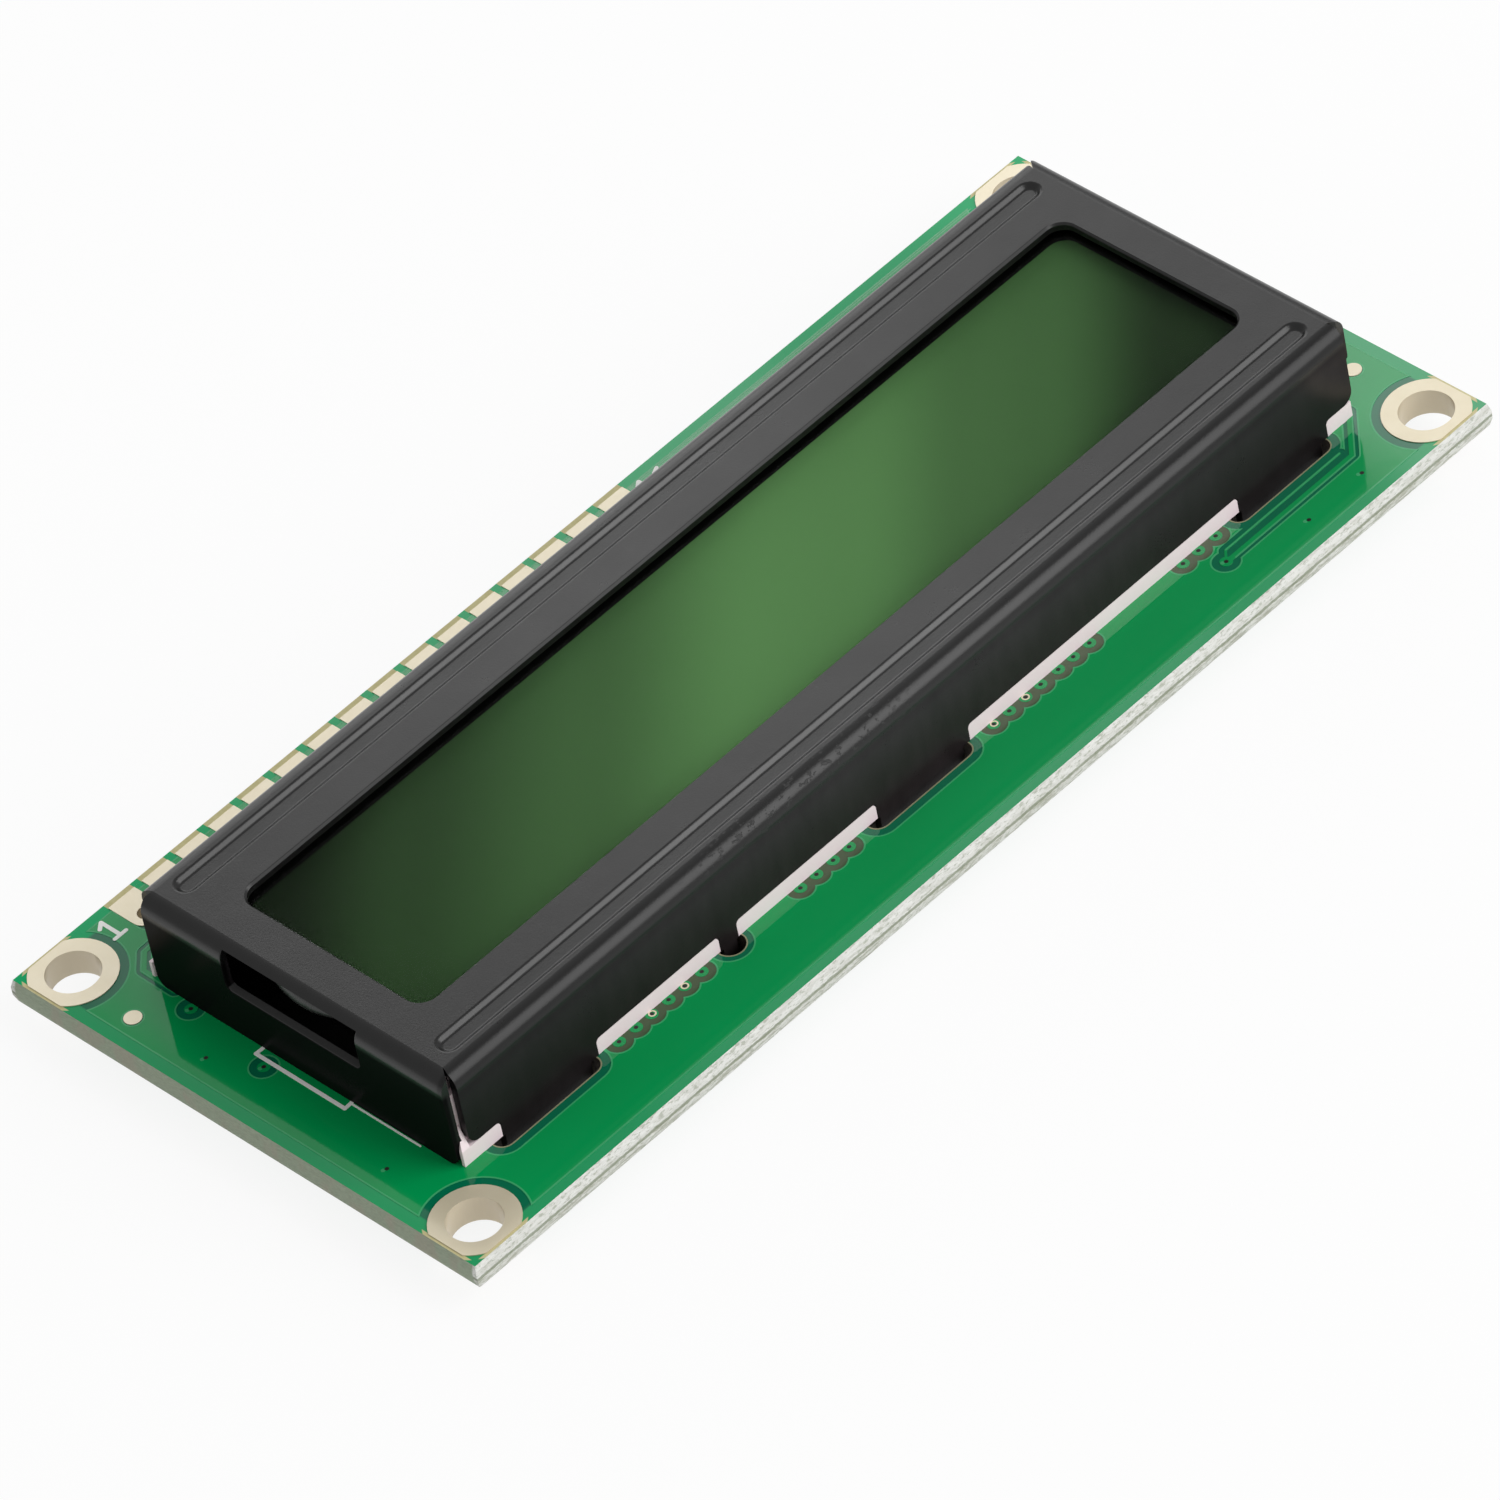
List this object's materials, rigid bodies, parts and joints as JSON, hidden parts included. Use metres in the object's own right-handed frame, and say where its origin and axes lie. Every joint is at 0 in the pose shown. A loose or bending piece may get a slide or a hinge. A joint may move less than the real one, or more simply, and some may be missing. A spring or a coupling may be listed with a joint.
{
  "type": "character display module",
  "caption": "Green circuit board with corner mounting holes and an edge row of connector pads, carrying a folded black bezel round a green liquid crystal display.",
  "frame": {"origin": "middle of the board's outline, on the plane that the bezel's tab ends stand on under the board", "axes": "+X along the board's long side, so that with +Z towards the viewer and +Y up connector hole 1 is at the top left; +Y towards the connector row; +Z out of the display"},
  "size_m": [0.08, 0.036, 0.0093],
  "materials": {
    "green_laminate": "green solder mask, gloss",
    "tinned_copper": "pale satin plating",
    "black_steel": "black satin paint on steel sheet",
    "clear_film": "glossy grey film",
    "plate_glass": "clear",
    "green_film": "yellow-green film with reflector",
    "clear_epoxy": "grey translucent epoxy",
    "zebra_rubber": "grey silicone rubber",
    "white_plastic": "white moulded plastic",
    "clear_acrylic": "clear acrylic",
    "white_film": "white film",
    "strip_laminate": "white laminate",
    "lamp_resin": "yellow resin",
    "solder": "bright tin",
    "black_epoxy": "black potting",
    "resistor_black": "black ceramic",
    "capacitor_tan": "tan ceramic"
  },
  "bodies": {
    "root": {"circuit_board": "green_laminate", "mounting_hole_lands": "tinned_copper", "header_pads": "tinned_copper", "fiducial_marks": "tinned_copper", "contact_fingers_front": "tinned_copper", "contact_fingers_back": "tinned_copper", "bezel_frame": "black_steel", "front_polarizer": "clear_film", "front_glass": "plate_glass", "rear_glass": "plate_glass", "rear_polarizer": "green_film", "end_seal": "clear_epoxy", "zebra_strip_front": "zebra_rubber", "zebra_strip_back": "zebra_rubber", "backlight_frame": "white_plastic", "light_guide": "clear_acrylic", "diffuser_sheet": "white_film", "reflector_sheet": "white_film", "led_strip": "strip_laminate", "leds": "lamp_resin", "backlight_leads": "solder", "solder_joints": "solder", "chip_end_caps": "solder", "epoxy_blob_controller": "black_epoxy", "epoxy_blob_driver": "black_epoxy", "resistor_bodies": "resistor_black", "capacitor_bodies": "capacitor_tan"}
  },
  "joints": []
}
